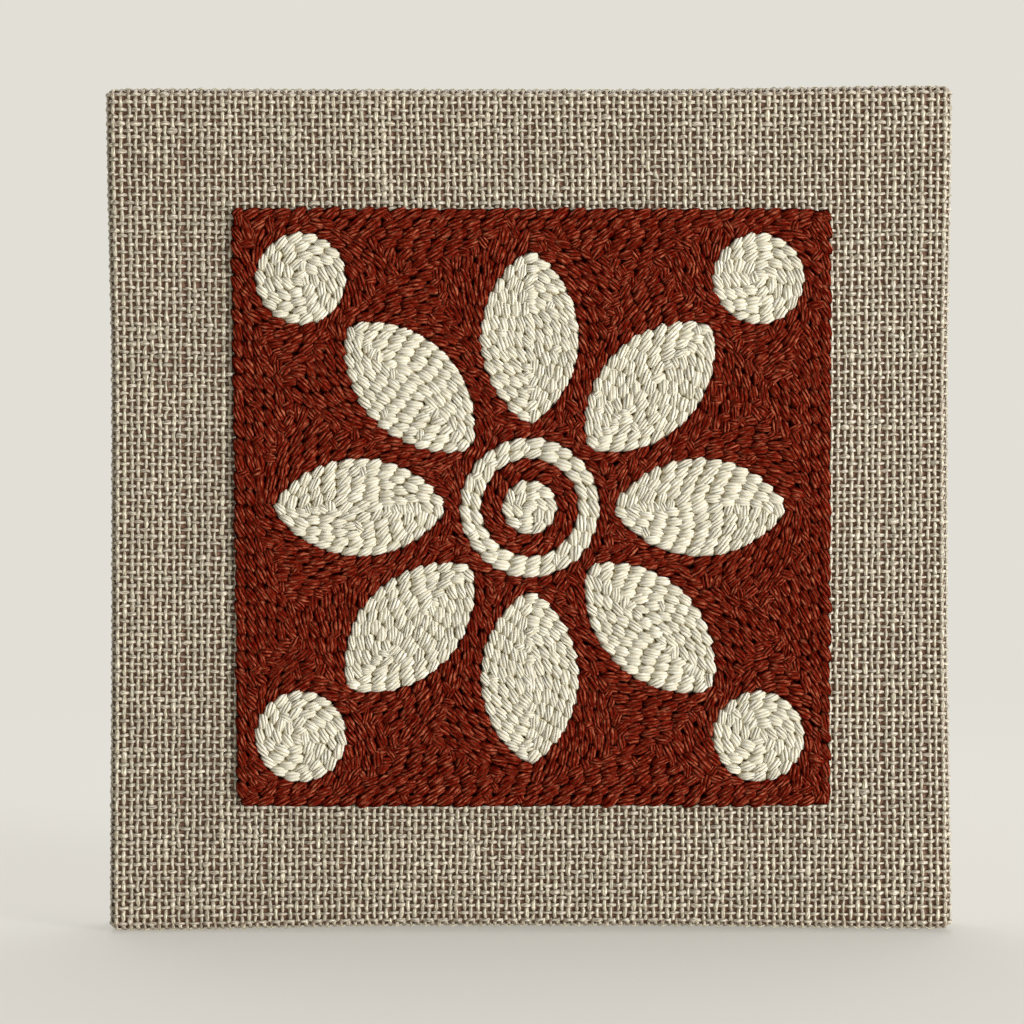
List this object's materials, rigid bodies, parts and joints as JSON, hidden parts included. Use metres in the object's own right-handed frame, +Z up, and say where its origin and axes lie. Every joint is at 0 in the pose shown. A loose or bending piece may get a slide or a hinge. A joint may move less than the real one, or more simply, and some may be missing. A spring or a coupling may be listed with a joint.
{
  "type": "punch-needle embroidered linen on a wooden stretcher frame",
  "caption": "Square of coarse linen stretched over a mitred wooden frame, its middle filled with flat yarn stitches that form a rosette; hangs on a wall nail.",
  "frame": {"origin": "middle of the top bar's underside, where the nail or hook that carries the panel bears", "axes": "+Z up, +Y into the wall behind the panel, so the stitched front faces -Y; +X to the right as seen from the front"},
  "size_m": [0.2594, 0.0244, 0.2591],
  "materials": {
    "pine": "planed, unfinished",
    "linen": "coarse open plain weave, natural",
    "rust_yarn": "thick soft-twisted yarn",
    "cream_yarn": "thick soft-twisted yarn"
  },
  "bodies": {
    "root": {"bar_top": "pine", "bar_right": "pine", "bar_bottom": "pine", "bar_left": "pine", "linen_cloth": "linen", "loop_pile": "rust_yarn", "ground_stitches": "rust_yarn", "band_stitches": "rust_yarn", "ring_stitches": "cream_yarn", "eye_stitches": "cream_yarn", "petal_stitches_1": "cream_yarn", "petal_stitches_2": "cream_yarn", "petal_stitches_3": "cream_yarn", "petal_stitches_4": "cream_yarn", "petal_stitches_5": "cream_yarn", "petal_stitches_6": "cream_yarn", "petal_stitches_7": "cream_yarn", "petal_stitches_8": "cream_yarn", "disc_stitches_1": "cream_yarn", "disc_stitches_2": "cream_yarn", "disc_stitches_3": "cream_yarn", "disc_stitches_4": "cream_yarn"}
  },
  "joints": []
}
